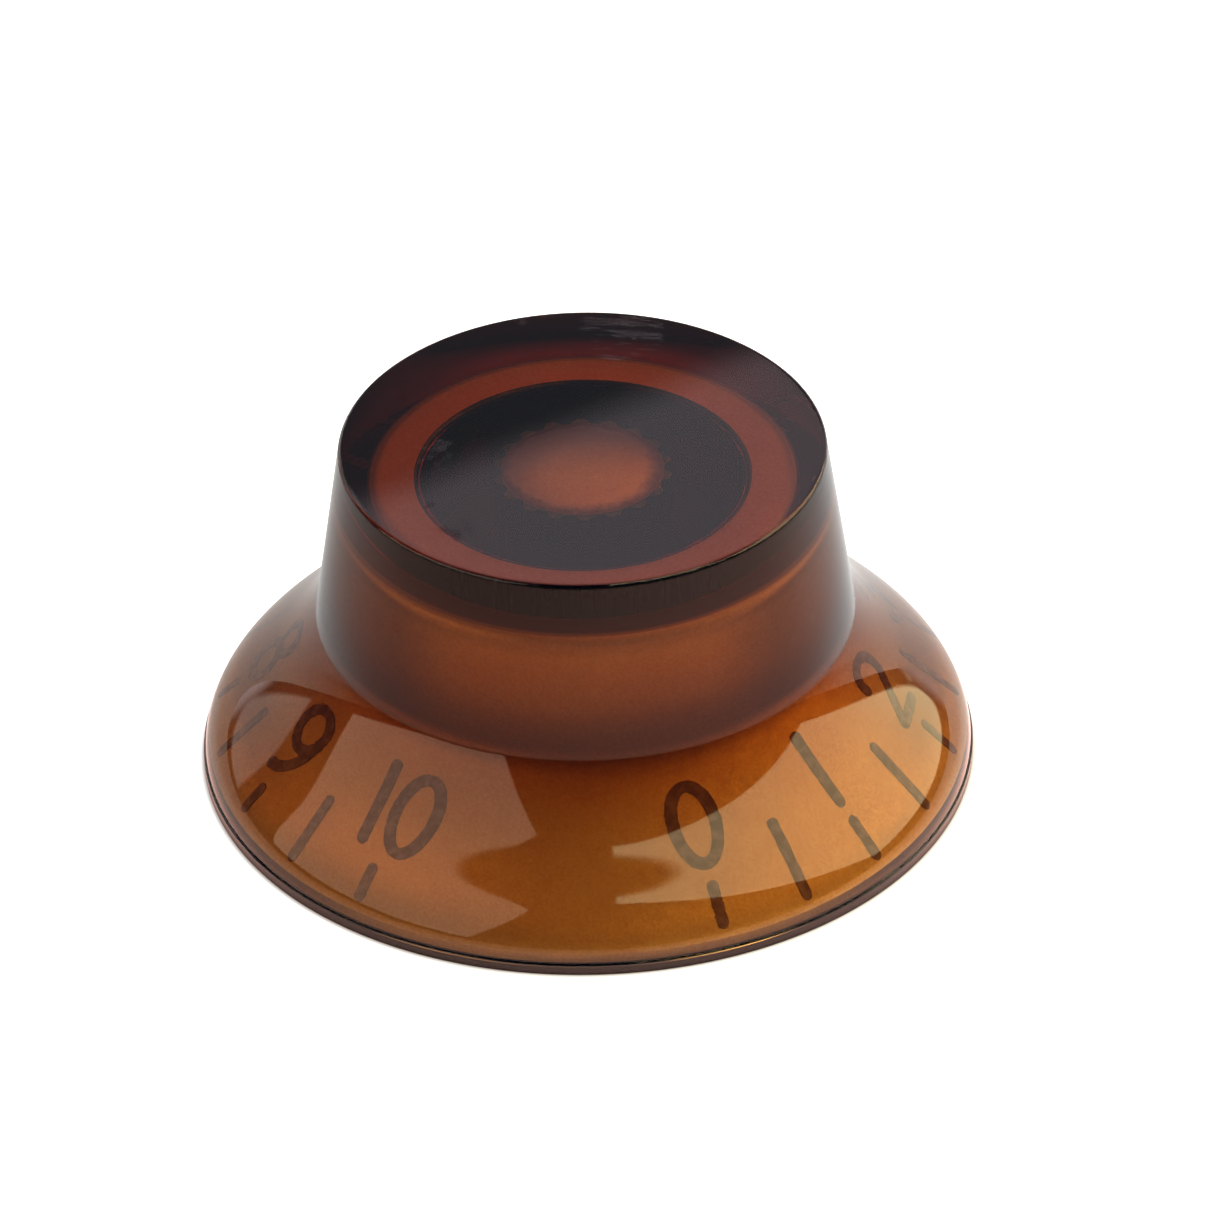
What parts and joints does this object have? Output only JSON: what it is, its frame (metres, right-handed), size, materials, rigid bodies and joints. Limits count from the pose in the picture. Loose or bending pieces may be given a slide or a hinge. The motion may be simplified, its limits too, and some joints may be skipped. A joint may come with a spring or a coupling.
{
  "type": "control knob",
  "caption": "Bell-shaped control knob in clear amber plastic, lined with gold lacquer, with a numbered dial printed behind its flared skirt.",
  "frame": {"origin": "centre of the rim's underside, on the axis of the shaft's bore", "axes": "+Z along the bore towards the closed top; -Y towards the middle of the dial's blank part, between 10 and 0; the figures rise counter-clockwise seen from +Z"},
  "size_m": [0.026, 0.026, 0.0123],
  "materials": {
    "amber_plastic": "clear amber moulded plastic, polished",
    "gold_lacquer": "gold metallic lacquer with fine flake",
    "dial_ink": "dark brown pad-printed ink"
  },
  "bodies": {
    "root": {"amber_shell": "amber_plastic", "gold_lining": "gold_lacquer", "gold_bore_end": "gold_lacquer", "figure_0": "dial_ink", "figure_1": "dial_ink", "figure_2": "dial_ink", "figure_3": "dial_ink", "figure_4": "dial_ink", "figure_5": "dial_ink", "figure_6": "dial_ink", "figure_7": "dial_ink", "figure_8": "dial_ink", "figure_9": "dial_ink", "figure_10_one": "dial_ink", "figure_10_zero": "dial_ink", "mark_0": "dial_ink", "mark_1": "dial_ink", "mark_2": "dial_ink", "mark_3": "dial_ink", "mark_4": "dial_ink", "mark_5": "dial_ink", "mark_6": "dial_ink", "mark_7": "dial_ink", "mark_8": "dial_ink", "mark_9": "dial_ink", "mark_10": "dial_ink", "half_mark_0": "dial_ink", "half_mark_1": "dial_ink", "half_mark_2": "dial_ink", "half_mark_3": "dial_ink", "half_mark_4": "dial_ink", "half_mark_5": "dial_ink", "half_mark_6": "dial_ink", "half_mark_7": "dial_ink", "half_mark_8": "dial_ink", "half_mark_9": "dial_ink"}
  },
  "joints": []
}
